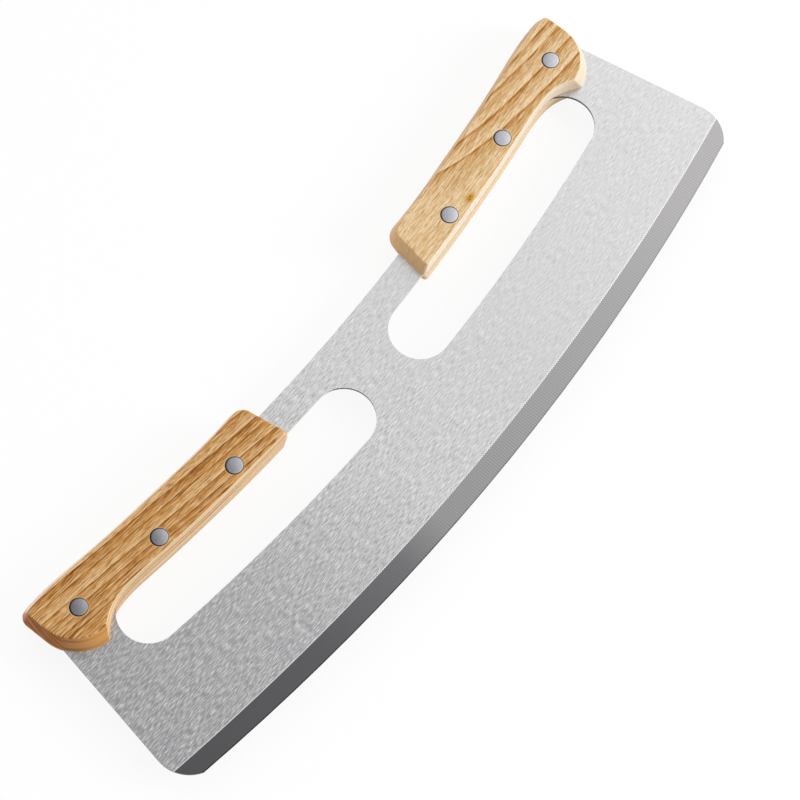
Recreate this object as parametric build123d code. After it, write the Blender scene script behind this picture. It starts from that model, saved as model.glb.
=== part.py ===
from build123d import *

import os
from math import asin, cos, degrees, radians, sin, sqrt

# Rocking pizza knife with two wooden handles, drawn lying on its back.
# +X runs along the blade, +Y from the cutting edge to the handles, +Z out of the face that is seen.
# In the drawing, heights are measured from the lowest point of the cutting edge, x from the middle
# of the blade and z from the middle of its thickness. All sizes are in millimetres and degrees.

# Blade: a rocker plate with a convex edge, a concave back and straight ends that lean inwards
blade_length = 355.0
blade_height = 88.2
blade_thickness = 1.5
rocker_radius = 989.0
back_radius = 872.0
end_lean = 10.3
corner_radius = 16.0
tang_corner_radius = 6.0
grind_depth = 1.1

# Bevel, ground on both faces along the cutting edge: its line on the face is a flatter arc, so the
# bevel is widest at the blade's middle
bevel_width = 9.1
bevel_line_radius = 1080.0
edge_thickness = 0.4

# Finger slots, on arcs about the same centre as the back edge, and the strip that they leave
strip_width = 13.1
slot_height = 26.4
bridge_width = 23.2
end_web = 30.2

# Handles: each sits over the strip and ends in a horn beside the outer end of the slot
handle_thickness = 17.5
grip_gap = 86.4
inner_end_lean = 9.4
inner_end_slope = 2.3
outer_end_slope = 2.6
back_slope = 2.8
horn_tip_slope = 3.2
wall_lip = 0.95
crest_lip = 1.4
crest_offset = 1.5
crest_run = 13.5
horn_reach = 5.9
horn_slope = 36.0
cheek_radius = 19.6
cheek_rise = 11.3
cheek_slope = 1.3
end_cover = 4.5
back_cover_inner = 9.5
back_cover_waist = 8.5
back_cover_shoulder = 8.2
back_cover_outer = 5.4
waist_run = 45.0
shoulder_run = 37.8
inner_corner_radius = 7.5
slot_side_corner_radius = 1.5
outer_corner_radius = 4.8
horn_tip_radius = 1.0
edge_radius = 0.8
kerf_clearance = 0.3

# Rivets: a post with a low round head, pressed from the front into a sleeve with a like head behind
head_diameter = 7.1
head_thickness = 1.5
head_crown = 0.08
head_rim_radius = 0.4
head_recess = 0.1
counterbore_clearance = 0.1
post_diameter = 3.2
post_end_gap = 0.3
sleeve_diameter = 4.8
sleeve_floor = 1.2
sleeve_mouth_gap = 2.3
rivet_hole_clearance = 0.1
rivet_rise = 4.25
rivet_inner_inset = 25.9
rivet_outer_inset = 17.4
rivet_names = ["inner", "middle", "outer"]

# How far a cutting shape runs past what it cuts
overrun = 5.0

half_length = blade_length / 2
half_plate = blade_thickness / 2
half_handle = handle_thickness / 2

# Every long arc of the back and of the slots has this centre
arc_centre_height = blade_height + back_radius
slot_top_radius = back_radius + strip_width
slot_middle_radius = slot_top_radius + slot_height / 2

# Each slot runs from the bridge at the blade's middle to the web at its end, and its ends are round
slot_length = half_length - bridge_width / 2 - end_web
slot_end_radius = slot_height / 2
slot_inner_x = bridge_width / 2 + slot_end_radius
slot_outer_x = bridge_width / 2 + slot_length - slot_end_radius


def arc_height(radius, x):
    """Height at x of the long arc of this radius about the common centre."""
    return arc_centre_height - sqrt(radius**2 - x**2)


def arc_direction(radius, x):
    """Direction along that arc at x, going outwards."""
    turn = asin(x / radius)
    return (cos(turn), sin(turn))


def wall_height(x):
    """Height of the handle's wall on the slot side, a little below the slot's upper edge."""
    return arc_height(slot_top_radius + wall_lip, x)


def disc(diameter, bottom, top):
    """A plain cylinder about Z from one height to another."""
    return Pos(0, 0, bottom) * Cylinder(
        diameter / 2, top - bottom, align=(Align.CENTER, Align.CENTER, Align.MIN)
    )


# The plate is cut with some stock along its cutting edge, and the rounding at each lower corner
# touches the edge of that blank
blank_radius = rocker_radius + grind_depth
corner_x = half_length - corner_radius
corner_height = rocker_radius - sqrt((blank_radius - corner_radius) ** 2 - corner_x**2)
lean = radians(end_lean)


def end_line_x(height):
    """Where the blade's leaning end is at a height."""
    start_x = corner_x + corner_radius * cos(lean)
    start_height = corner_height + corner_radius * sin(lean)
    return start_x - (height - start_height) * sin(lean) / cos(lean)


def tang_corner_x():
    """Where the leaning end meets the back edge, found by stepping between the two."""
    x = corner_x
    for _ in range(20):
        x = end_line_x(arc_height(back_radius, x))
    return x


tang_x = tang_corner_x()


def corner_point(angle):
    """A point of the rounded lower corner, at an angle from +X."""
    return (
        corner_x + corner_radius * cos(angle),
        corner_height + corner_radius * sin(angle),
    )


# Plate outline without its slots
def plate_outline():
    # The rounding leaves the blank's edge in line with the middles of the two circles
    edge_angle = -asin((rocker_radius - corner_height) / (blank_radius - corner_radius))
    right_foot = corner_point(edge_angle)
    right_cheek = corner_point(lean)
    right_bulge = corner_point((edge_angle + lean) / 2)
    right_tang = (tang_x, arc_height(back_radius, tang_x))

    def left(point):
        return (-point[0], point[1])

    edge = ThreePointArc(left(right_foot), (0, -grind_depth), right_foot)
    right_corner = ThreePointArc(right_foot, right_bulge, right_cheek)
    right_end = Line(right_cheek, right_tang)
    back = ThreePointArc(right_tang, (0, blade_height), left(right_tang))
    left_end = Line(left(right_tang), left(right_cheek))
    left_corner = ThreePointArc(left(right_cheek), left(right_bulge), left(right_foot))
    blank = make_face([edge, right_corner, right_end, back, left_end, left_corner])

    # Grinding the cutting edge back leaves a blunt point where it meets each rounding
    ground = blank & Pos(0, rocker_radius) * Circle(rocker_radius)
    tang_corners = ground.vertices().sort_by(Axis.Y)[-2:]
    return fillet(tang_corners, tang_corner_radius)


# One finger slot: an arc of constant height with round ends
def slot_outline(side):
    inner_angle = 270 + side * degrees(asin(slot_inner_x / slot_middle_radius))
    outer_angle = 270 + side * degrees(asin(slot_outer_x / slot_middle_radius))
    start = min(inner_angle, outer_angle)
    sweep_angle = abs(outer_angle - inner_angle)
    path = CenterArc((0, arc_centre_height), slot_middle_radius, start, sweep_angle)
    return SlotArc(path, slot_height)


# Places of a handle's three rivets: evenly spaced between the handle's two ends, and all the same
# distance above the slot's upper arc
def rivet_places():
    inner_x = grip_gap / 2 + rivet_inner_inset
    outer_x = tang_x + end_cover - rivet_outer_inset
    pitch = (outer_x - inner_x) / (len(rivet_names) - 1)
    places = []
    for index in range(len(rivet_names)):
        x = inner_x + index * pitch
        places.append((x, arc_height(slot_top_radius, x) + rivet_rise))
    return places


# Stock that the bevel takes off one face: a ring about the middle of the bevel line's arc, whose
# cone leaves the face at that line and reaches the edge's thickness at the middle of the edge
def bevel_stock(face):
    taper = (blade_thickness - edge_thickness) / 2 / bevel_width
    inner = bevel_width + overrun
    section = Polyline(
        (0, inner, face * (half_plate + taper * overrun)),
        (0, -overrun, face * (edge_thickness / 2 - taper * overrun)),
        (0, -overrun, face * (half_plate + overrun)),
        (0, inner, face * (half_plate + overrun)),
        close=True,
    )
    half_turn = degrees(asin((half_length + overrun) / bevel_line_radius))
    axis = Axis((0, bevel_width + bevel_line_radius, 0), (0, 0, 1))
    ring = revolve(make_face(section.edges()), axis, 2 * half_turn)
    return ring.rotate(axis, -half_turn)


# Blade
def make_blade():
    plate = extrude(plate_outline(), half_plate, both=True)
    for side in (-1, 1):
        plate -= extrude(slot_outline(side), blade_thickness, both=True)
    hole_diameter = sleeve_diameter + 2 * rivet_hole_clearance
    hole = disc(hole_diameter, -blade_thickness, blade_thickness)
    for x, height in rivet_places():
        plate -= Pos(x, height) * hole
        plate -= Pos(-x, height) * hole
    for face in (-1, 1):
        plate -= bevel_stock(face)
    return plate


# Handle outline for the handle on the +X side. level is 0 at the blade's middle plane and 1 at the
# handle's face, where the slanted ends and back have drawn in
def handle_outline(level):
    inner_x = grip_gap / 2 + level * inner_end_slope
    end_x = tang_x + end_cover - level * outer_end_slope
    crest_x = slot_outer_x + crest_offset
    slot_end_height = arc_height(slot_middle_radius, slot_outer_x)
    crest = (crest_x, slot_end_height + slot_end_radius - crest_lip)
    wall_start = (inner_x, wall_height(inner_x))
    wall_end_x = crest_x - crest_run
    wall_middle_x = (inner_x + wall_end_x) / 2
    wall_middle = (wall_middle_x, wall_height(wall_middle_x))
    wall_end = (wall_end_x, wall_height(wall_end_x))

    # The cheek is the round outer side of the horn, tangent to the outer end
    radius = cheek_radius - level * outer_end_slope
    cheek_x = end_x - radius
    cheek_height = crest[1] + cheek_rise + level * cheek_slope

    def cheek_point(x):
        return (x, cheek_height - sqrt(radius**2 - (x - cheek_x) ** 2))

    tip = cheek_point(slot_outer_x + slot_end_radius + horn_reach - level * horn_tip_slope)
    cheek_middle_x = cheek_x + radius * cos(radians(45))
    cheek_end = (end_x, cheek_height)

    # The back of the handle follows the strip, drawn in at the waist
    shoulder_x = end_x - shoulder_run
    waist_x = inner_x + waist_run
    drawn_in = level * back_slope

    def back_height(x, cover):
        return arc_height(back_radius, x) + cover - drawn_in

    # The back leaves both of its rounded corners level
    outer_radius = outer_corner_radius - drawn_in
    outer_middle = (end_x - outer_radius, back_height(end_x, back_cover_outer) - outer_radius)
    inner_radius = inner_corner_radius - drawn_in
    inner_top_height = back_height(inner_x, back_cover_inner)
    lean_run = (inner_top_height - wall_start[1]) * sin(radians(inner_end_lean))
    turn = radians(90 - inner_end_lean)
    corner_run = inner_radius * sin(turn / 2) / cos(turn / 2)
    inner_middle = (inner_x + lean_run + corner_run, inner_top_height - inner_radius)

    def corner_arc(middle, radius, start, end):
        angles = (radians(start), radians((start + end) / 2), radians(end))
        return [(middle[0] + radius * cos(a), middle[1] + radius * sin(a)) for a in angles]

    outer_corner = corner_arc(outer_middle, outer_radius, 0, 90)
    inner_corner = corner_arc(inner_middle, inner_radius, 90, 180 - inner_end_lean)
    waist = (waist_x, back_height(waist_x, back_cover_waist))
    shoulder = (shoulder_x, back_height(shoulder_x, back_cover_shoulder))

    horn_angle = radians(horn_slope)
    wall = ThreePointArc(wall_start, wall_middle, wall_end)
    arch = Spline(
        wall_end,
        crest,
        tip,
        tangents=[
            arc_direction(slot_top_radius, wall_end_x),
            (1, 0),
            (cos(horn_angle), -sin(horn_angle)),
        ],
    )
    cheek = ThreePointArc(tip, cheek_point(cheek_middle_x), cheek_end)
    outer_end = Line(cheek_end, outer_corner[0])
    outer_arc = ThreePointArc(*outer_corner)
    level_ends = [(-1, 0), (-1, 0)]
    back = Spline(outer_corner[-1], shoulder, waist, inner_corner[0], tangents=level_ends)
    inner_arc = ThreePointArc(*inner_corner)
    inner_end = Line(inner_corner[-1], wall_start)
    face = make_face([wall, arch, cheek, outer_end, outer_arc, back, inner_arc, inner_end])
    return face, wall_start, tip


def upright_edge_near(solid, point):
    """The edge that rises through the half handle and starts nearest to a point of its outline."""
    upright = []
    for edge in solid.edges():
        box = edge.bounding_box()
        if box.size.Z > half_handle / 2:
            upright.append(edge)
    return min(upright, key=lambda edge: edge.distance_to(Vertex(*point, 0)))


# Front half of a handle, from the blade's middle plane to its face, with slanted ends and back
def half_handle_solid():
    outline, slot_side_corner, horn_tip = handle_outline(0)
    face = handle_outline(1)[0]
    half = loft([outline, Pos(0, 0, half_handle) * face], ruled=True)
    half = fillet(upright_edge_near(half, slot_side_corner), slot_side_corner_radius)
    half = fillet(upright_edge_near(half, horn_tip), horn_tip_radius)
    face_edges = half.faces().sort_by(Axis.Z)[-1].edges()
    return fillet(face_edges, edge_radius)


# Wooden handle with its kerf and rivet holes, for the +X side
def make_handle():
    front = half_handle_solid()
    handle = front + mirror(front, Plane.XY)
    kerf = offset(plate_outline(), kerf_clearance)
    handle -= extrude(kerf, half_plate, both=True)
    bore = disc(sleeve_diameter, -half_handle - overrun, half_handle + overrun)
    counterbore_diameter = head_diameter + 2 * counterbore_clearance
    head_seat = half_handle - head_recess - head_thickness
    counterbore = disc(counterbore_diameter, head_seat, half_handle + overrun)
    for x, height in rivet_places():
        handle -= Pos(x, height) * bore
        handle -= Pos(x, height) * counterbore
        handle -= Pos(x, height) * mirror(counterbore, Plane.XY)
    return handle


# Rivet head on the front, with its rim rounded over and its top crowned
def rivet_head():
    top = half_handle - head_recess
    blank = disc(head_diameter, top - head_thickness, top)
    rim = blank.edges().sort_by(Axis.Z)[-1]
    crown_radius = ((head_diameter / 2) ** 2 + head_crown**2) / (2 * head_crown)
    ball = Pos(0, 0, top - crown_radius) * Sphere(crown_radius)
    return fillet(rim, head_rim_radius) & ball


# Rivet post: head and solid pin, driven in from the front
def make_post():
    seat = half_handle - head_recess - head_thickness
    floor = -seat + sleeve_floor
    return rivet_head() + disc(post_diameter, floor + post_end_gap, seat)


# Rivet sleeve: head and tube, from behind
def make_sleeve():
    seat = half_handle - head_recess - head_thickness
    mouth = seat - sleeve_mouth_gap
    sleeve = mirror(rivet_head(), Plane.XY) + disc(sleeve_diameter, -seat, mouth)
    return sleeve - disc(post_diameter, -seat + sleeve_floor, mouth + overrun)


parts = {"blade": make_blade()}
right_handle = make_handle()
parts["handle_right"] = right_handle
parts["handle_left"] = mirror(right_handle, Plane.YZ)
post = make_post()
sleeve = make_sleeve()
for side_name, side in (("left", -1), ("right", 1)):
    for place_name, (x, height) in zip(rivet_names, rivet_places()):
        place = Pos(side * x, height)
        parts[f"rivet_post_{side_name}_{place_name}"] = place * post
        parts[f"rivet_sleeve_{side_name}_{place_name}"] = place * sleeve

# The origin is under the middle of the whole knife, on the plane that its handles lie on
box = Compound(children=[Part(shape.wrapped) for shape in parts.values()]).bounding_box()
to_origin = Pos(-box.center().X, -box.center().Y, -box.min.Z)

os.makedirs("parts", exist_ok=True)
for name, shape in parts.items():
    export_step(to_origin * shape, f"parts/{name}.step")
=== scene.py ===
import math

import bpy
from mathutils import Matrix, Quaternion, Vector


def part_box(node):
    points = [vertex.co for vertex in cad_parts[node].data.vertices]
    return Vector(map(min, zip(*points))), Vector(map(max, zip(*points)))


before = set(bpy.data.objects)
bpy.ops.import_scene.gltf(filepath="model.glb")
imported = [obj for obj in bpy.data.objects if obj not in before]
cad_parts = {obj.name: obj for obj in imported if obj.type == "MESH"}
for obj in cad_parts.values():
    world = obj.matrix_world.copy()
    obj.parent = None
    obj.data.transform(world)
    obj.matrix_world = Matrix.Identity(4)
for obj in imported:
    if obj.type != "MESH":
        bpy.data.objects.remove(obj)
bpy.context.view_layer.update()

# Blade
# One stainless steel plate, cut by laser and brushed along its length on both faces. Its curved
# edge is ground from both sides on a fluted wheel, which leaves a fine rib each millimetre, square
# to the edge. A painted highlight and a band of painted shade run along the bevel's line.
MM = 0.001
rocker_radius = 989 * MM
bevel_width = 9.1 * MM
bevel_line_radius = 1080 * MM
blade_low, blade_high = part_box("blade")
edge_centre = (0, blade_low[1] + rocker_radius, 0)
line_centre = (0, blade_low[1] + bevel_width + bevel_line_radius, 0)

rib_pitch = 1.1 * MM
rib_height = 0.006 * MM
tooth_reach = 0.22 * MM

# Places along X: how far out the steel's tones go, where the belt's pressure stops falling and
# where the ribs' wear is full
tone_reach = 170 * MM
pressure_end = 50 * MM
wear_full = -130 * MM

# Widths across the edge: how far the bands reach on both sides of the bevel's line, then the bands
# and their borders
margin = 1.0 * MM
crease_highlight_width = 0.36 * MM
root_width = 0.45 * MM
edge_band_width = 0.42 * MM
border = 0.08 * MM

# The real brush marks are finer than a pixel of the picture, so they are drawn this coarse
mark_length = 2.9 * MM
mark_width = 0.34 * MM
mark_height = 0.004 * MM
cloud_length = 26 * MM
cloud_width = 9 * MM


def linear(hex_colour):
    """sRGB hex to linear: a channel c becomes ((c + 0.055) / 1.055) to the power 2.4."""
    channels = [int(hex_colour[i : i + 2], 16) / 255 for i in (1, 3, 5)]
    return [((c + 0.055) / 1.055) ** 2.4 for c in channels] + [1.0]


def add_node(owner, kind, feeds=None, stops=None, **settings):
    """Adds one node to a material or world. feeds gives an input its value, or the output or the
    node that feeds it, which a node does by its first output in use. stops are a ramp's pairs of a
    position with a hex colour or a grey from 0 to 1. settings are the node's properties."""
    tree = owner.node_tree
    node = tree.nodes.new(kind)
    for name, value in settings.items():
        setattr(node, name, value)
    for name, value in (feeds or {}).items():
        if isinstance(value, bpy.types.Node):
            value = next(output for output in value.outputs if output.enabled)
        if isinstance(value, bpy.types.NodeSocket):
            tree.links.new(value, node.inputs[name])
        else:
            node.inputs[name].default_value = value
    if stops:
        points = node.color_ramp.elements
        points.remove(points[-1])
        for index, (position, tone) in enumerate(stops):
            point = points.new(position) if index else points[0]
            point.position = position
            point.color = linear(tone) if isinstance(tone, str) else (tone, tone, tone, 1.0)
    return node


def new_material(name):
    """An empty node material."""
    material = bpy.data.materials.new(name)
    material.use_nodes = True
    material.node_tree.nodes.clear()
    return material


def finish_material(material, colour, metallic, roughness, specular, normal):
    """Closes a material with its shader and output."""
    shader = add_node(
        material,
        "ShaderNodeBsdfPrincipled",
        {
            "Base Color": colour,
            "Metallic": metallic,
            "Roughness": roughness,
            "Specular IOR Level": specular,
            "Normal": normal,
        },
    )
    add_node(material, "ShaderNodeOutputMaterial", {"Surface": shader})


def dress(node_name, material):
    """Gives a carried-over solid its material in every slot."""
    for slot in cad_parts[node_name].material_slots:
        slot.material = material


def brushed_face(steel, place, along, end_share):
    """Brush marks run along X. The belt pressed harder on the -X half, which left the marks
    stronger there, and clouds show where it dwelt. The face's tone is painted darker towards -X:
    painted shade. Gives the colour and the relief of the marks."""
    # The face is painted darker towards -X: painted shade
    painted_shade_tone = add_node(
        steel,
        "ShaderNodeValToRGB",
        {"Fac": end_share},
        stops=[(0.0, 0.41), (0.2, 0.43), (0.33, 0.50), (0.42, 0.55), (0.6, 0.525), (1.0, 0.51)],
    )
    drawn = add_node(
        steel,
        "ShaderNodeMapping",
        {"Vector": place, "Scale": (1 / mark_length, 1 / mark_width, 1 / mark_width)},
    )
    marks = add_node(
        steel,
        "ShaderNodeTexNoise",
        {"Vector": drawn, "Scale": 1.0, "Detail": 2.0, "Roughness": 0.5, "Distortion": 0.3},
    )
    pressure = add_node(
        steel,
        "ShaderNodeMapRange",
        {
            "Value": along,
            "From Min": -tone_reach,
            "From Max": pressure_end,
            "To Min": 2.4,
            "To Max": 0.62,
        },
    )
    centred = add_node(steel, "ShaderNodeMath", {0: marks, 1: 0.5}, operation="SUBTRACT")
    pressed = add_node(
        steel, "ShaderNodeMath", {0: centred, 1: pressure, 2: painted_shade_tone}, operation="MULTIPLY_ADD"
    )
    cloud_place = add_node(
        steel,
        "ShaderNodeMapping",
        {"Vector": place, "Scale": (1 / cloud_length, 1 / cloud_width, 1 / cloud_width)},
    )
    clouds = add_node(
        steel, "ShaderNodeTexNoise", {"Vector": cloud_place, "Scale": 1.0, "Detail": 2.0}
    )
    cloudy = add_node(
        steel, "ShaderNodeMath", {0: clouds, 1: 0.04, 2: pressed}, operation="MULTIPLY_ADD"
    )
    colour = add_node(
        steel,
        "ShaderNodeValToRGB",
        {"Fac": cloudy},
        stops=[(0.30, "#b0b0b3"), (0.54, "#d5d5d6"), (0.78, "#f4f4f5")],
    )
    relief = add_node(
        steel,
        "ShaderNodeBump",
        {"Height": pressed, "Distance": mark_height, "Strength": 1.0},
    )
    return colour, relief


def out_from(steel, place, centre):
    """The flat way out from an arc's centre, with -Y as its second axis, and its length."""
    way = add_node(steel, "ShaderNodeVectorMath", {0: place, 1: centre}, operation="SUBTRACT")
    flat = add_node(
        steel, "ShaderNodeVectorMath", {0: way, 1: (1, -1, 0)}, operation="MULTIPLY"
    )
    return flat, add_node(steel, "ShaderNodeVectorMath", {0: flat}, operation="LENGTH")


def ground_bevel(steel, place, along, end_share):
    """Bands across the edge, from the brushed face out: a painted highlight, the root of the bevel
    with painted shade, ribbed bevel and a dark edge band of painted shade. Gives the shares of the
    highlight and of bevel, the bevel's colour and its ribs."""
    from_line, line_distance = out_from(steel, place, line_centre)
    edge_distance = out_from(steel, place, edge_centre)[1]

    # The ribs stand along the arc of the bevel's line. Wear smooths them from the middle out to -X
    flat_axes = add_node(steel, "ShaderNodeSeparateXYZ", {"Vector": from_line})
    angle = add_node(
        steel,
        "ShaderNodeMath",
        {0: flat_axes.outputs["X"], 1: flat_axes.outputs["Y"]},
        operation="ARCTAN2",
    )
    phase_per_angle = 2 * math.pi * bevel_line_radius / rib_pitch
    phase = add_node(steel, "ShaderNodeMath", {0: angle, 1: phase_per_angle}, operation="MULTIPLY")
    wave = add_node(steel, "ShaderNodeMath", {0: phase}, operation="SINE")
    wear = add_node(
        steel,
        "ShaderNodeMapRange",
        {"Value": along, "From Min": wear_full, "From Max": 0.0, "To Min": 0.15},
    )
    ribs = add_node(steel, "ShaderNodeMath", {0: wave, 1: wear}, operation="MULTIPLY")
    toothed = add_node(
        steel,
        "ShaderNodeMath",
        {0: ribs, 1: tooth_reach, 2: line_distance},
        operation="MULTIPLY_ADD",
    )
    across = add_node(
        steel,
        "ShaderNodeMapRange",
        {
            "Value": toothed,
            "From Min": bevel_line_radius - margin,
            "From Max": bevel_line_radius + margin,
        },
    )
    line = 0.5
    crease_highlight_start = line - crease_highlight_width / margin / 2
    root_end = line + root_width / margin / 2
    soft = border / margin / 2
    # A near-white band just on the face's side of the bevel's line: a painted highlight
    crease_highlight = add_node(
        steel,
        "ShaderNodeValToRGB",
        {"Fac": across},
        stops=[(crease_highlight_start - soft, 0.0), (crease_highlight_start + soft, 1.0)],
    )
    bevel = add_node(
        steel,
        "ShaderNodeValToRGB",
        {"Fac": across},
        stops=[(line - soft, 0.0), (line + soft, 1.0)],
    )
    # The bevel is painted darker just past its line: painted shade
    root = add_node(
        steel,
        "ShaderNodeValToRGB",
        {"Fac": across},
        stops=[(line, 0.70), (root_end, 1.0)],
    )
    # The band at the very edge is painted as a dark line: painted shade
    edge_band = add_node(
        steel,
        "ShaderNodeMapRange",
        {
            "Value": edge_distance,
            "From Min": rocker_radius - edge_band_width - border,
            "From Max": rocker_radius - edge_band_width + border,
        },
    )

    # The grind is smoother towards the -X end. Its colour is painted darker there, and so is the
    # edge band's dark line: painted shade.
    grind_shade_tone = add_node(
        steel,
        "ShaderNodeValToRGB",
        {"Fac": end_share},
        stops=[
            (0.0, "#757577"),
            (0.2, "#737375"),
            (0.33, "#828284"),
            (0.40, "#a4a4a5"),
            (0.75, "#a6a6a7"),
            (0.9, "#aeacac"),
        ],
    )
    edge_shade_tone = add_node(
        steel,
        "ShaderNodeValToRGB",
        {"Fac": end_share},
        stops=[(0.0, "#2a2a2a"), (0.3, "#3c3c3c"), (0.45, "#77777a"), (1.0, "#9a9a9a")],
    )
    ribbed = add_node(
        steel,
        "ShaderNodeMapRange",
        {"Value": ribs, "From Min": -1.0, "From Max": 1.0, "To Min": 0.86, "To Max": 1.08},
    )
    shaded = add_node(steel, "ShaderNodeMath", {0: ribbed, 1: root}, operation="MULTIPLY")
    ground = add_node(
        steel, "ShaderNodeVectorMath", {0: grind_shade_tone, "Scale": shaded}, operation="SCALE"
    )
    colour = add_node(
        steel, "ShaderNodeMixRGB", {"Fac": edge_band, "Color1": ground, "Color2": edge_shade_tone}
    )
    return crease_highlight, bevel, colour, ribs


def laser_cut_walls(steel, normal):
    """The walls are the surfaces that don't face up or down. Walls that face -Y, as the strip's
    edge in the handles' kerfs does, are painted bright: painted light against the shade in the
    kerfs.
    Gives the share of wall and its colour."""
    facing = add_node(steel, "ShaderNodeSeparateXYZ", {"Vector": normal})
    upness = add_node(steel, "ShaderNodeMath", {0: facing.outputs["Z"]}, operation="ABSOLUTE")
    wall = add_node(steel, "ShaderNodeMath", {0: upness, 1: 0.5}, operation="LESS_THAN")
    # Walls facing -Y are painted bright: painted light
    painted_wall_light = add_node(
        steel,
        "ShaderNodeMapRange",
        {"Value": facing.outputs["Y"], "From Min": -0.8, "From Max": -0.97},
    )
    colour = add_node(
        steel,
        "ShaderNodeMixRGB",
        {"Fac": painted_wall_light, "Color1": linear("#3f3d39"), "Color2": linear("#e4dccd")},
    )
    return wall, colour


def brushed_stainless():
    """Martensitic knife steel: brushed faces, a smoother ribbed bevel and dark laser-cut walls."""
    steel = new_material("brushed_stainless_steel")
    spot = add_node(steel, "ShaderNodeTexCoord")
    place = spot.outputs["Object"]
    along = add_node(steel, "ShaderNodeSeparateXYZ", {"Vector": place}).outputs["X"]

    # Where a place lies between the -X end, 0, and the +X end, 1
    end_share = add_node(
        steel,
        "ShaderNodeMapRange",
        {"Value": along, "From Min": -tone_reach, "From Max": tone_reach},
    )
    colour, mark_relief = brushed_face(steel, place, along, end_share)
    crease_highlight, bevel, bevel_colour, ribs = ground_bevel(steel, place, along, end_share)
    wall, wall_colour = laser_cut_walls(steel, spot.outputs["Normal"])
    # Near white: the painted highlight along the bevel's line
    crease_highlight_colour = linear("#fdfdfd")
    for mask, over in ((crease_highlight, crease_highlight_colour), (bevel, bevel_colour), (wall, wall_colour)):
        colour = add_node(
            steel, "ShaderNodeMixRGB", {"Fac": mask, "Color1": colour, "Color2": over}
        )
    roughness = add_node(
        steel, "ShaderNodeMapRange", {"Value": bevel, "To Min": 0.36, "To Max": 0.28}
    )
    bevel_ribs = add_node(steel, "ShaderNodeMath", {0: ribs, 1: bevel}, operation="MULTIPLY")
    relief = add_node(
        steel,
        "ShaderNodeBump",
        {"Height": bevel_ribs, "Distance": rib_height, "Strength": 1.0, "Normal": mark_relief},
    )
    finish_material(
        steel, colour, metallic=1.0, roughness=roughness, specular=0.5, normal=relief
    )
    return steel


dress("blade", brushed_stainless())

# Handles
# Two blocks of oiled ring-porous hardwood, slotted to sit over the blade's strip, shaped on a
# spindle and sanded. They come from different boards, so each has its own colour and growth rings.
fibre_relief = 0.03 * MM

# From here to the rivets all sizes and places are in millimetres
blade_middle_z = (blade_low[2] + blade_high[2]) / 2 / MM
kerf_half = 0.9
wander = 0.55
wander_size = (28, 7, 14)
side_line_size = (90, 60, 1.4)

# The horn's tip divides the slot side from the cheek, and leans in towards both faces
tip_reach = 153.2
tip_slope = 0.36
tip_softness = 0.3

# Radii round a rivet: where the dark joint, partly painted shadow, starts and ends, and where the
# pale ring, a painted highlight, is full and ends
rivet_ring_radii = (3.6, 3.75, 3.9, 4.3)
# The ring middles sit off the rivets towards -X, so that the dark joint is wider there: a painted
# shadow
joint_shadow_offset = (-0.2, 0.05, 0)


def growth_rings(wood, board, place, axes):
    """The rings are the surfaces v = const. v is the height y plus the board's slope along x and
    tilt through z, less a bend that fades out along x as a power of e, and it wanders by a slow
    noise. Gives the ring's tone at v, from 0, dark, to 1, pale, and the wander."""
    across = add_node(
        wood,
        "ShaderNodeVectorMath",
        {0: place, 1: (board["slope"], 1, board["tilt"])},
        operation="DOT_PRODUCT",
    )
    if board["bend"]:
        fade = add_node(
            wood,
            "ShaderNodeMath",
            {
                0: axes.outputs["X"],
                1: -1 / board["bend_fade"],
                2: board["bend_start"] / board["bend_fade"],
            },
            operation="MULTIPLY_ADD",
        )
        fall = add_node(wood, "ShaderNodeMath", {0: fade}, operation="EXPONENT")
        across = add_node(
            wood,
            "ShaderNodeMath",
            {0: fall, 1: -board["bend"], 2: across},
            operation="MULTIPLY_ADD",
        )
    wander_place = add_node(
        wood,
        "ShaderNodeVectorMath",
        {0: place, 1: [1 / size for size in wander_size]},
        operation="MULTIPLY",
    )
    wandering = add_node(
        wood, "ShaderNodeTexNoise", {"Vector": wander_place, "Scale": 1.0, "Detail": 2.0}
    )
    off_line = add_node(
        wood,
        "ShaderNodeMath",
        {0: wandering, 1: 2 * wander, 2: -wander},
        operation="MULTIPLY_ADD",
    )
    across = add_node(wood, "ShaderNodeMath", {0: off_line, 1: across}, operation="ADD")
    first, last = board["rings"][0][0], board["rings"][-1][0]
    if board["rings_repeat"]:
        across = add_node(
            wood, "ShaderNodeMath", {0: across, 1: last, 2: first}, operation="WRAP"
        )
    share = add_node(
        wood, "ShaderNodeMapRange", {"Value": across, "From Min": first, "From Max": last}
    )
    tone = add_node(
        wood,
        "ShaderNodeValToRGB",
        {"Fac": share},
        stops=[((v - first) / (last - first), tone) for v, tone in board["rings"]],
    )
    return tone, off_line


def grain(wood, board, place, axes, off_line):
    """Noises drawn out along the grain, for the streaks, the fibres and the pores. They are drawn
    coarser than the real ones, which are finer than a pixel."""
    height = add_node(
        wood,
        "ShaderNodeVectorMath",
        {0: place, 1: (board["fibre_slope"], 1, board["tilt"])},
        operation="DOT_PRODUCT",
    )
    aside = add_node(wood, "ShaderNodeMath", {0: off_line, 1: height}, operation="ADD")
    grain_place = add_node(
        wood,
        "ShaderNodeCombineXYZ",
        {"X": axes.outputs["X"], "Y": aside, "Z": axes.outputs["Z"]},
    )
    noises = []
    for length, width, depth, detail in board["grain"]:
        drawn = add_node(
            wood,
            "ShaderNodeVectorMath",
            {0: grain_place, 1: (1 / length, 1 / width, 1 / depth)},
            operation="MULTIPLY",
        )
        noises.append(
            add_node(
                wood,
                "ShaderNodeTexNoise",
                {"Vector": drawn, "Scale": 1.0, "Detail": detail, "Distortion": 0.15},
            )
        )
    return noises


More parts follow.
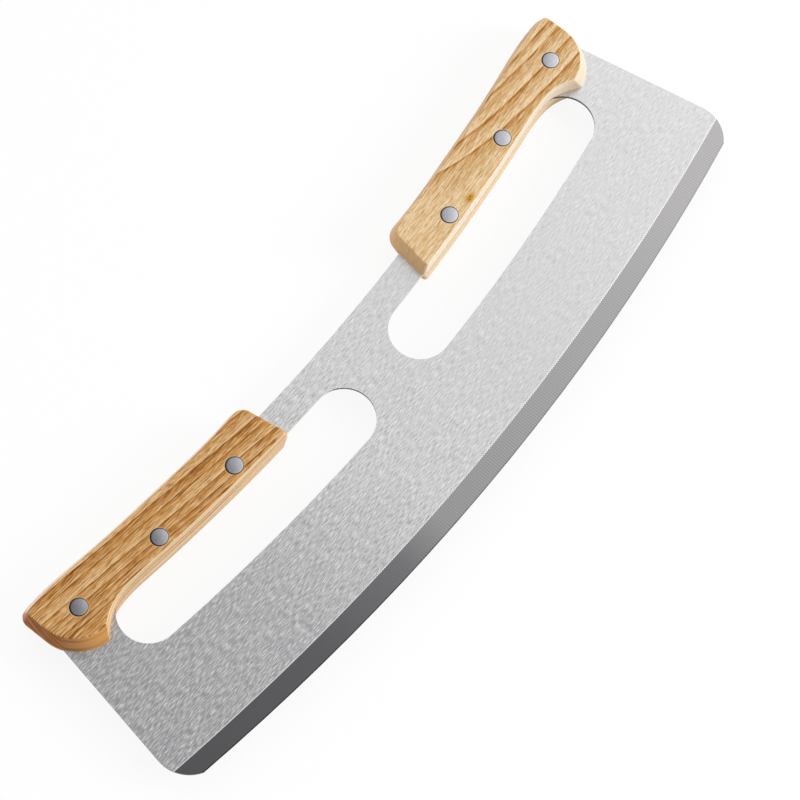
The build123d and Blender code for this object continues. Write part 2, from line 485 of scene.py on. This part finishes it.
def cut_along(wood, board, rings, streaks, fibres, pores):
    """Colour of the faces. The tone is the sum of ring, streak and fibre, each by its weight, and
    the palette turns it to colour. A pore is a darker dash, where its noise is low."""
    ring_weight, *grain_weights = board["weights"]
    tone = add_node(
        wood,
        "ShaderNodeMath",
        {0: rings, 1: ring_weight, 2: 0.5 - 0.5 * sum(board["weights"])},
        operation="MULTIPLY_ADD",
    )
    for noise, weight in zip((streaks, fibres), grain_weights):
        tone = add_node(
            wood, "ShaderNodeMath", {0: noise, 1: weight, 2: tone}, operation="MULTIPLY_ADD"
        )
    body = add_node(wood, "ShaderNodeValToRGB", {"Fac": tone}, stops=board["palette"])
    pore_mask = add_node(
        wood,
        "ShaderNodeMapRange",
        {"Value": pores, "From Min": 0.42, "From Max": 0.34, "To Max": board["pore_share"]},
    )
    return add_node(
        wood,
        "ShaderNodeMixRGB",
        {"Fac": pore_mask, "Color1": body, "Color2": linear(board["pore_colour"])},
    )


def with_knots(wood, board, place, colour):
    """Adds the board's pin knots to its colour. Each is an oval that fades out at its border."""
    for centre, (half_length, half_width), knot_colour in board["knots"]:
        from_knot = add_node(
            wood, "ShaderNodeVectorMath", {0: place, 1: (*centre, 0)}, operation="SUBTRACT"
        )
        shrunk = add_node(
            wood,
            "ShaderNodeVectorMath",
            {0: from_knot, 1: (1 / half_length, 1 / half_width, 0)},
            operation="MULTIPLY",
        )
        reach = add_node(wood, "ShaderNodeVectorMath", {0: shrunk}, operation="LENGTH")
        knot_mask = add_node(
            wood, "ShaderNodeMapRange", {"Value": reach, "From Min": 1.3, "From Max": 0.5}
        )
        colour = add_node(
            wood,
            "ShaderNodeMixRGB",
            {"Fac": knot_mask, "Color1": colour, "Color2": linear(knot_colour)},
        )
    return colour


def with_sides(wood, board, place, axes, normal, colour):
    """Adds the colours of the surfaces that turn away from the faces, and of the kerf's faces,
    which are painted as pale as the slot side: painted light against the shade in the kerf. Some
    sides' colours hold painted light or shade, as the boards' entries say."""
    facing = add_node(wood, "ShaderNodeSeparateXYZ", {"Vector": normal})
    upness = add_node(wood, "ShaderNodeMath", {0: facing.outputs["Z"]}, operation="ABSOLUTE")
    turned = add_node(
        wood, "ShaderNodeMapRange", {"Value": upness, "From Min": 0.82, "From Max": 0.62}
    )
    level = add_node(
        wood, "ShaderNodeMath", {0: axes.outputs["Z"], 1: -blade_middle_z}, operation="ADD"
    )
    depth = add_node(wood, "ShaderNodeMath", {0: level}, operation="ABSOLUTE")
    in_kerf = add_node(wood, "ShaderNodeMath", {0: depth, 1: kerf_half}, operation="LESS_THAN")
    kerf_face = add_node(wood, "ShaderNodeMath", {0: in_kerf, 1: upness}, operation="MULTIPLY")
    side = add_node(wood, "ShaderNodeMath", {0: turned, 1: kerf_face}, operation="MAXIMUM")

    # The kerf's faces count as turned to the slot, so they are painted its pale colour: painted
    # light
    slot_facing = add_node(
        wood,
        "ShaderNodeMath",
        {0: kerf_face, 1: -2.0, 2: facing.outputs["Y"]},
        operation="MULTIPLY_ADD",
    )
    below = add_node(wood, "ShaderNodeMath", {0: level, 1: -kerf_half}, operation="LESS_THAN")
    outwards = add_node(wood, "ShaderNodeMath", {0: axes.outputs["X"]}, operation="ABSOLUTE")
    past_tip = add_node(
        wood, "ShaderNodeMath", {0: depth, 1: tip_slope, 2: outwards}, operation="MULTIPLY_ADD"
    )
    beyond = add_node(
        wood,
        "ShaderNodeMapRange",
        {
            "Value": past_tip,
            "From Min": tip_reach - tip_softness,
            "From Max": tip_reach + tip_softness,
        },
    )

    # What a side faces, where its colour starts and is full, and which part of the handle it is on
    turns = {
        "back": (facing.outputs["Y"], 0.30, 0.65, None),
        "slot side": (slot_facing, -0.25, -0.5, None),
        # Below the blade the slot side is painted more golden: painted shade
        "slot side below": (slot_facing, -0.25, -0.5, below),
        "inner end": (facing.outputs["X"], -0.4 * board["side"], -0.7 * board["side"], None),
        "outer end": (facing.outputs["Y"], 0.90, 0.80, beyond),
        "horn tip": (facing.outputs["Y"], -0.55, -0.80, beyond),
    }

    # Rings cut lengthwise leave fine lines along the back and the slot side
    line_place = add_node(
        wood,
        "ShaderNodeVectorMath",
        {0: place, 1: [1 / size for size in side_line_size]},
        operation="MULTIPLY",
    )
    side_lines = add_node(
        wood, "ShaderNodeTexNoise", {"Vector": line_place, "Scale": 1.0, "Detail": 1.0}
    )
    for turn_name, share_kept, line_share, side_colour in board["sides"]:
        value, start, full, part = turns[turn_name]
        mask = add_node(
            wood,
            "ShaderNodeMapRange",
            {"Value": value, "From Min": start, "From Max": full, "To Max": 1 - share_kept},
        )
        mask = add_node(wood, "ShaderNodeMath", {0: mask, 1: side}, operation="MULTIPLY")
        if part:
            mask = add_node(wood, "ShaderNodeMath", {0: mask, 1: part}, operation="MULTIPLY")
        line_mask = add_node(
            wood,
            "ShaderNodeMapRange",
            {"Value": side_lines, "From Min": 0.50, "From Max": 0.38, "To Max": line_share},
        )
        lined = add_node(
            wood,
            "ShaderNodeMixRGB",
            {
                "Fac": line_mask,
                "Color1": linear(side_colour),
                "Color2": linear(board["line_colour"]),
            },
        )
        colour = add_node(
            wood,
            "ShaderNodeMixRGB",
            {"Fac": mask, "Color1": colour, "Color2": lined},
            blend_type="MULTIPLY" if share_kept == 0 else "MIX",
        )
    return colour


def with_rivet_joints(wood, board, place, rivet_places, colour):
    """Darkens the joint round each rivet, its own dark and a painted shadow, and paints a pale ring
    outside it, a painted highlight. Both follow the distance from the nearest ring middle."""
    from_rivets = None
    for rivet_place in rivet_places:
        to_rivet = add_node(
            wood, "ShaderNodeVectorMath", {0: place, 1: rivet_place}, operation="SUBTRACT"
        )
        flat = add_node(
            wood, "ShaderNodeVectorMath", {0: to_rivet, 1: (1, 1, 0)}, operation="MULTIPLY"
        )
        length = add_node(wood, "ShaderNodeVectorMath", {0: flat}, operation="LENGTH")
        if from_rivets:
            length = add_node(
                wood, "ShaderNodeMath", {0: length, 1: from_rivets}, operation="MINIMUM"
            )
        from_rivets = length
    start, joint_end, pale_full, end = rivet_ring_radii
    near = add_node(
        wood, "ShaderNodeMapRange", {"Value": from_rivets, "From Min": start, "From Max": end}
    )
    joint_end, pale_full = [(r - start) / (end - start) for r in (joint_end, pale_full)]
    joint = add_node(
        wood,
        "ShaderNodeValToRGB",
        {"Fac": near},
        stops=[(0.0, 1.0), (joint_end, 0.8), (pale_full, 0.0)],
    )
    pale_ring = add_node(
        wood,
        "ShaderNodeValToRGB",
        {"Fac": near},
        stops=[(joint_end, 0.0), (pale_full, 0.55), (1.0, 0.0)],
    )
    # The pale ring is a painted highlight, and the dark joint is partly painted shadow
    for mask, ring_colour in ((pale_ring, board["palette"][-1][1]), (joint, "#2c221a")):
        colour = add_node(
            wood,
            "ShaderNodeMixRGB",
            {"Fac": mask, "Color1": colour, "Color2": linear(ring_colour)},
        )
    return colour


def oiled_wood(name, board, rivet_places):
    """Hardwood with growth rings, grain and pores. Oil without polish leaves it warm and nearly
    matt, with the fibres just raised."""
    wood = new_material(name)
    spot = add_node(wood, "ShaderNodeTexCoord")
    place = add_node(
        wood,
        "ShaderNodeVectorMath",
        {0: spot.outputs["Object"], "Scale": 1 / MM},
        operation="SCALE",
    )
    axes = add_node(wood, "ShaderNodeSeparateXYZ", {"Vector": place})
    rings, off_line = growth_rings(wood, board, place, axes)
    streaks, fibres, pores = grain(wood, board, place, axes, off_line)
    colour = cut_along(wood, board, rings, streaks, fibres, pores)
    colour = with_knots(wood, board, place, colour)
    colour = with_sides(wood, board, place, axes, spot.outputs["Normal"], colour)
    colour = with_rivet_joints(wood, board, place, rivet_places, colour)
    relief = add_node(
        wood, "ShaderNodeBump", {"Height": fibres, "Distance": fibre_relief, "Strength": 1.0}
    )
    finish_material(wood, colour, metallic=0.0, roughness=0.55, specular=0.1, normal=relief)
    return wood


def joint_ring_middles(side_name):
    """Middles of the three joint rings on one side. Each is a little off its rivet, so that the
    dark joint is wider towards -X: a painted shadow."""
    places = []
    for place_name in ("inner", "middle", "outer"):
        low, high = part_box(f"rivet_post_{side_name}_{place_name}")
        middle = (low + high) / 2 / MM
        places.append([m + offset for m, offset in zip(middle, joint_shadow_offset)])
    return places


# A board's side is its sign of X. Rings are pairs of a place across them and a tone. Grain gives
# the length, width, depth and detail of the streaks, fibres and pores. A side's entry is its name,
# the share of the board's own colour that it keeps, the share of the line colour in its lines, and
# its colour. Where no share is kept, the colour tints the board's own. A knot is a centre, half its
# length and width, and its colour
left_board = {
    "side": -1,
    "slope": 0.165,
    "tilt": -1.7,
    "bend": 0,
    "fibre_slope": 0.10,
    "rings_repeat": True,
    "rings": [
        (-26.0, 0.6), (-24.3, 0.5), (-24.0, 0.0), (-23.7, 0.75), (-22.3, 0.55), (-22.0, 0.0),
        (-21.7, 0.75), (-19.7, 0.6), (-19.4, 0.1), (-19.1, 0.7), (-17.4, 0.45), (-17.1, 0.0),
        (-16.8, 0.85), (-13.5, 0.45), (-13.2, 0.0), (-12.9, 0.95), (-8.7, 0.5), (-8.4, 0.05),
        (-8.1, 0.75), (-4.8, 0.3), (-4.5, 0.0), (-4.2, 1.0), (1.1, 0.5), (1.4, 0.05),
        (1.7, 0.8), (6.0, 0.4), (6.3, 0.0), (6.6, 0.8), (13.0, 0.6),
    ],
    "grain": [(30, 0.50, 9, 2), (4.5, 0.40, 2.6, 2), (3.6, 0.50, 2.0, 1)],
    "weights": (0.85, 1.15, 1.45),
    "palette": [
        (0.06, "#6c3e14"),
        (0.28, "#9c652e"),
        (0.50, "#b88449"),
        (0.72, "#c89a62"),
        (0.94, "#dab98c"),
    ],
    "pore_share": 0.55,
    "pore_colour": "#875423",
    "knots": [],
    "sides": [
        # The back is pale edge grain, with a painted highlight along its rounded edge
        ("back", 0.15, 0.2, "#e8d6c8"),
        # The slot side is pale edge grain, painted paler still: partly painted light
        ("slot side", 0.10, 0.65, "#ebcfa6"),
        ("inner end", 0.5, 0.0, "#c08f62"),
        ("outer end", 0, 0.0, "#d2ad8e"),
        ("horn tip", 0.6, 0.0, "#f2b866"),
    ],
    "line_colour": "#b98450",
}

# The knot is a golden oval with two darker specks
right_board = {
    "side": 1,
    "slope": 0,
    "tilt": -0.05,
    "bend": 14,
    "bend_start": 78,
    "bend_fade": 31,
    "fibre_slope": -0.06,
    "rings_repeat": False,
    "rings": [
        (5.0, 0.79), (17.0, 0.77), (21.0, 0.66), (24.5, 0.56), (27.7, 0.36), (28.2, 0.0),
        (28.5, 0.0), (29.0, 0.95), (31.6, 0.66), (34.6, 0.38), (35.2, 0.0), (35.6, 0.0),
        (36.1, 0.95), (39.0, 0.62), (42.0, 0.32), (42.6, 0.0), (43.1, 0.95), (46.2, 0.42),
        (47.1, 0.0), (47.6, 0.95), (51.0, 0.5), (53.0, 0.2), (53.4, 0.7), (59.0, 0.5),
    ],
    "grain": [(18, 0.7, 9, 2), (5.0, 0.40, 2.6, 2), (2.0, 0.38, 1.6, 1)],
    "weights": (0.72, 0.70, 1.60),
    "palette": [
        (0.06, "#985e22"),
        (0.28, "#bb8749"),
        (0.50, "#cca775"),
        (0.72, "#dabb8f"),
        (0.94, "#e8d0ab"),
    ],
    "pore_share": 0.5,
    "pore_colour": "#a8783e",
    "knots": [
        ((80.2, 25.2), (2.7, 1.6), "#c08a2c"),
        ((79.5, 24.8), (0.6, 0.4), "#9a6a24"),
        ((80.7, 25.5), (0.5, 0.5), "#9a6a24"),
    ],
    "sides": [
        # The back is painted a greyer tan: painted shade
        ("back", 0.5, 0.1, "#cba78c"),
        # The slot side is pale edge grain, painted paler still: partly painted light
        ("slot side", 0.08, 0.22, "#ecdfca"),
        # Below the blade the slot side is painted more golden: painted shade
        ("slot side below", 0.3, 0.2, "#dfbd8c"),
        ("inner end", 0.3, 0.0, "#dcae7c"),
        ("outer end", 0.15, 0.2, "#dfd2bd"),
    ],
    "line_colour": "#d8b88c",
}
dress("handle_left", oiled_wood("oiled_left_handle_wood", left_board, joint_ring_middles("left")))
dress("handle_right", oiled_wood("oiled_right_handle_wood", right_board, joint_ring_middles("right")))

# Rivets
# Six cutlery rivets in two parts, turned from stainless bar: a post from the front is pressed into
# a sleeve from behind. Their low round heads lie just below the wood and were sanded, which leaves
# them satin.
satin_mark_size = (1.5 * MM, 0.4 * MM, 1.0 * MM)

# The way along a head in which it is painted brighter: painted light
painted_light_way = (0.35, -0.94, 0)


def satin_stainless(node_name):
    """Turned stainless with a fine satin. A head is painted darker towards +Y and brighter towards
    -Y, painted shade and painted light, and its rim more so: a painted highlight towards -Y and
    painted shade towards +Y. Reach across it is counted in its radii."""
    satin = new_material("satin_rivet_steel")
    place = add_node(satin, "ShaderNodeTexCoord").outputs["Object"]
    low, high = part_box(node_name)
    head_radius = (high[0] - low[0]) / 2
    from_middle = add_node(
        satin, "ShaderNodeVectorMath", {0: place, 1: (low + high) / 2}, operation="SUBTRACT"
    )
    in_radii = add_node(
        satin,
        "ShaderNodeVectorMath",
        {0: from_middle, 1: (1 / head_radius, 1 / head_radius, 0)},
        operation="MULTIPLY",
    )
    painted_light_slope = add_node(
        satin, "ShaderNodeVectorMath", {0: in_radii, 1: painted_light_way}, operation="DOT_PRODUCT"
    )
    reach = add_node(satin, "ShaderNodeVectorMath", {0: in_radii}, operation="LENGTH")
    rim = add_node(
        satin, "ShaderNodeMapRange", {"Value": reach, "From Min": 0.80, "From Max": 0.95}
    )
    rim_highlight = add_node(satin, "ShaderNodeMath", {0: painted_light_slope, 1: rim}, operation="MULTIPLY")
    drawn = add_node(
        satin,
        "ShaderNodeMapping",
        {"Vector": place, "Scale": [1 / size for size in satin_mark_size]},
    )
    marks = add_node(satin, "ShaderNodeTexNoise", {"Vector": drawn, "Scale": 1.0, "Detail": 2.0})
    tone = add_node(
        satin, "ShaderNodeMapRange", {"Value": marks, "To Min": 0.32, "To Max": 0.68}
    )
    # Painted light and shade across the head and its rim
    for slope, weight in ((painted_light_slope, 0.25), (rim_highlight, 0.30)):
        tone = add_node(
            satin, "ShaderNodeMath", {0: slope, 1: weight, 2: tone}, operation="MULTIPLY_ADD"
        )
    colour = add_node(
        satin,
        "ShaderNodeValToRGB",
        {"Fac": tone},
        stops=[(0.1, "#82828a"), (0.5, "#afafb6"), (0.9, "#dadadd")],
    )
    relief = add_node(
        satin, "ShaderNodeBump", {"Height": marks, "Distance": mark_height, "Strength": 1.0}
    )
    finish_material(satin, colour, metallic=1.0, roughness=0.22, specular=0.5, normal=relief)
    return satin


for node_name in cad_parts:
    if node_name.startswith("rivet_"):
        dress(node_name, satin_stainless(node_name))

# Studio
# A floor of white paper under the knife, a room that lights it softly, and one soft box. The
# camera stands where the photograph was taken.
floor_reach = 3.0
floor_gap = 0.2 * MM
shadow_share = 0.12
corners = [(-1, -1), (1, -1), (1, 1), (-1, 1)]
floor_mesh = bpy.data.meshes.new("floor")
floor_mesh.from_pydata(
    [(floor_reach * x, floor_reach * y, -floor_gap) for x, y in corners], [], [(0, 1, 2, 3)]
)
floor = bpy.data.objects.new("floor", floor_mesh)
bpy.context.scene.collection.objects.link(floor)

# The paper looks white to the camera, and in metal, but keeps a share of the knife's shadow
paper = new_material("white_paper_floor")
path = add_node(paper, "ShaderNodeLightPath").outputs
lit = add_node(paper, "ShaderNodeBsdfDiffuse", {"Color": linear("#f6f6f6")})
glow = add_node(paper, "ShaderNodeEmission", {"Color": linear("#ffffff"), "Strength": 1.0})
seen = add_node(paper, "ShaderNodeMixShader", {0: shadow_share, 1: glow, 2: lit})
camera_or_gloss = add_node(
    paper,
    "ShaderNodeMath",
    {0: path["Is Camera Ray"], 1: path["Is Glossy Ray"]},
    operation="MAXIMUM",
)
shown = add_node(
    paper,
    "ShaderNodeMath",
    {0: camera_or_gloss, 1: path["Is Transmission Ray"]},
    operation="MAXIMUM",
)
paper_shader = add_node(paper, "ShaderNodeMixShader", {0: shown, 1: lit, 2: seen})
add_node(paper, "ShaderNodeOutputMaterial", {"Surface": paper_shader})
floor_mesh.materials.append(paper)

# The room's light from the -X horizon, 0, over the top to the +X horizon, 1. It is darkest just
# short of the top and brightest halfway down the +X side, and low on the +Y side it is brighter
room_strength = 1.63
room = bpy.data.worlds.new("studio_room")
room.use_nodes = True
room.node_tree.nodes.clear()
bpy.context.scene.world = room
direction = add_node(room, "ShaderNodeTexCoord").outputs["Generated"]
compass = add_node(room, "ShaderNodeSeparateXYZ", {"Vector": direction})
half_turn = add_node(
    room, "ShaderNodeMapRange", {"Value": compass.outputs["X"], "From Min": -1.0, "From Max": 1.0}
)
sideways = add_node(
    room,
    "ShaderNodeValToRGB",
    {"Fac": half_turn},
    stops=[
        (0.0, 0.42),
        (0.325, 0.36),
        (0.475, 0.14),
        (0.54, 0.16),
        (0.585, 0.34),
        (0.625, 0.60),
        (0.65, 0.67),
        (0.70, 0.78),
        (0.78, 0.89),
        (0.86, 0.79),
        (1.0, 0.72),
    ],
)
behind = add_node(
    room, "ShaderNodeMapRange", {"Value": compass.outputs["Y"], "From Min": 0.55, "From Max": 0.9}
)
strength = add_node(
    room, "ShaderNodeMath", {0: sideways, 1: room_strength, 2: behind}, operation="MULTIPLY_ADD"
)
to_camera = add_node(room, "ShaderNodeLightPath").outputs["Is Camera Ray"]
backdrop = add_node(
    room, "ShaderNodeMapRange", {"Value": to_camera, "To Min": strength, "To Max": 1.0}
)
room_shader = add_node(
    room, "ShaderNodeBackground", {"Color": linear("#ffffff"), "Strength": backdrop}
)
add_node(room, "ShaderNodeOutputWorld", {"Surface": room_shader})

# The soft box, low on the side of the cutting edge, lights the slot side of the handles. The steel
# doesn't mirror it, so the blade keeps its tone seen from the other side
key_place = Vector((0.75, -0.95, 0.60))
key_width = 0.5
key_power = 10
key_light = bpy.data.lights.new("key", "AREA")
key_light.size = key_width
key_light.energy = key_power
key = bpy.data.objects.new("key", key_light)
key.location = key_place
key.visible_glossy = False
key.rotation_mode = "QUATERNION"
key.rotation_quaternion = (-key_place).to_track_quat("-Z", "Y")
bpy.context.scene.collection.objects.link(key)

# The camera's place and turn were fitted to the photograph's perspective
camera_place = Vector((-0.29349, -0.19866, 1.00393))
camera_aim = Vector((-0.00168, -0.00351, 0.0))
camera_roll = math.radians(4.788)
camera_lens = 117.87
sensor_width = 36
camera = bpy.data.objects.new("camera", bpy.data.cameras.new("camera"))
camera.data.sensor_width = sensor_width
camera.data.lens = camera_lens
camera.location = camera_place
camera.rotation_mode = "QUATERNION"
upright = (camera_aim - camera_place).to_track_quat("-Z", "Y")
camera.rotation_quaternion = upright @ Quaternion((0, 0, 1), camera_roll)
bpy.context.scene.collection.objects.link(camera)
bpy.context.scene.camera = camera
bpy.context.scene.view_settings.view_transform = "Standard"
